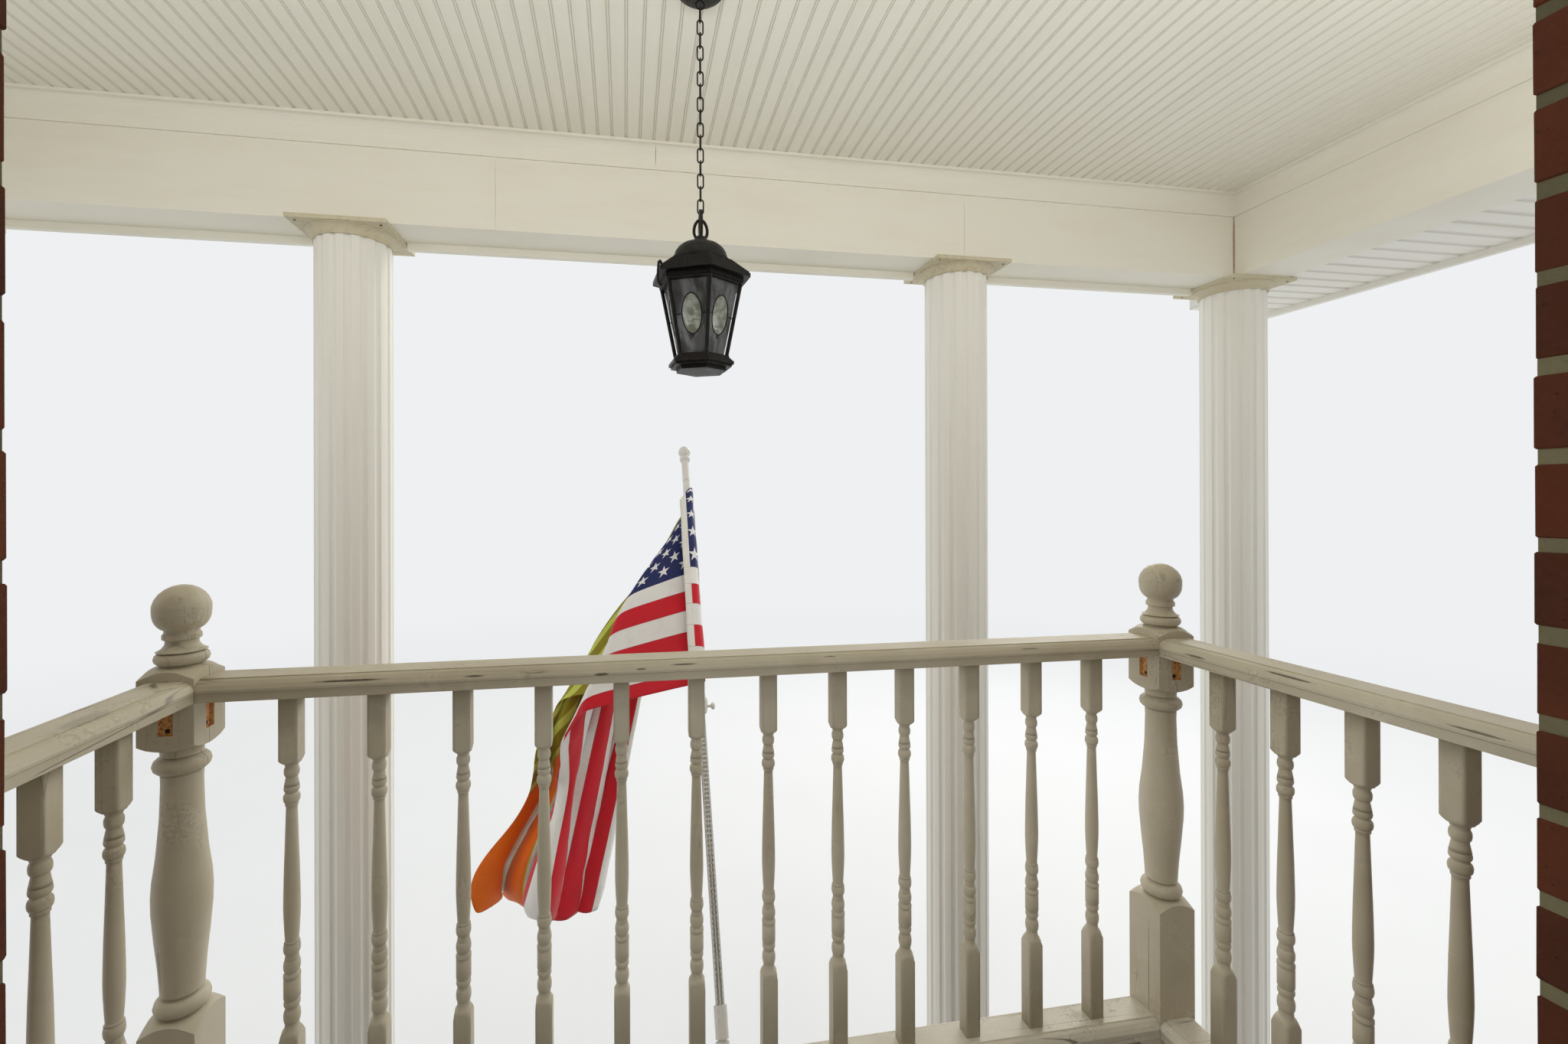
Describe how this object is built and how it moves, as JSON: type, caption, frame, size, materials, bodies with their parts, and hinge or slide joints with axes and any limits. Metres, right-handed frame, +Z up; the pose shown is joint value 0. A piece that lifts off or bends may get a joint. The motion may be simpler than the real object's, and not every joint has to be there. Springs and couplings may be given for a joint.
{
  "type": "front porch",
  "caption": "Two-storey front porch with fluted columns, gable roof, railed balcony over the entrance, hanging lantern and angled flagpole with flags.",
  "frame": {"origin": "ground level, at the middle of the overall width and depth", "axes": "+Z up, the front faces -Y and the house wall is on the +Y side, +X is to the right of a person who faces the front"},
  "size_m": [6.36, 2.849, 6.817],
  "materials": {
    "trim_white": "satin",
    "rail_paint": "weathered paint",
    "deck_wood": "weathered",
    "brick": "brick and mortar",
    "concrete": "broom finished concrete",
    "shingle": "asphalt shingle",
    "dark_metal": "aged black",
    "lantern_glass": "clear",
    "candle": "matte",
    "pole_metal": "satin",
    "pole_plastic": "gloss",
    "flag_cloth": "woven"
  },
  "bodies": {
    "porch": {"porch_slab": "concrete", "wall_left": "brick", "wall_right": "brick", "wall_over_entry": "brick", "wall_over_door": "brick", "entry_frame": "trim_white", "balcony_door_frame": "trim_white", "column_bases": "trim_white", "column_shaft_1": "trim_white", "column_shaft_2": "trim_white", "column_shaft_3": "trim_white", "column_shaft_4": "trim_white", "column_caps": "trim_white", "beam_front": "trim_white", "beam_left": "trim_white", "beam_right": "trim_white", "frieze": "trim_white", "ceiling": "trim_white", "cove_trim": "trim_white", "tympanum": "trim_white", "soffits": "trim_white", "fascias": "trim_white", "rake_boards": "trim_white", "eave_returns": "trim_white", "roof_left": "shingle", "roof_right": "shingle", "balcony_frame": "trim_white", "balcony_boards": "deck_wood", "newel_left": "rail_paint", "newel_right": "rail_paint", "handrail_front": "rail_paint", "side_handrails": "rail_paint", "bottom_rail_front": "rail_paint", "side_bottom_rails": "rail_paint", "balusters_front": "rail_paint", "side_balusters": "rail_paint", "lantern_canopy": "dark_metal", "pole_bracket": "pole_plastic", "flagpole": "pole_metal", "flag_stars": "flag_cloth", "flag_stripes": "flag_cloth"},
    "lantern": {"lantern_chain": "dark_metal", "lantern_roof": "dark_metal", "lantern_cage": "dark_metal", "lantern_glass": "lantern_glass", "lantern_candle": "candle"}
  },
  "joints": [
    {"name": "lantern_swing", "type": "hinge", "parent": "porch", "child": "lantern", "pos_m": [0.012, -0.1405, 5.331], "axis": [1, 0, 0], "range_deg": [-15, 15]}
  ]
}
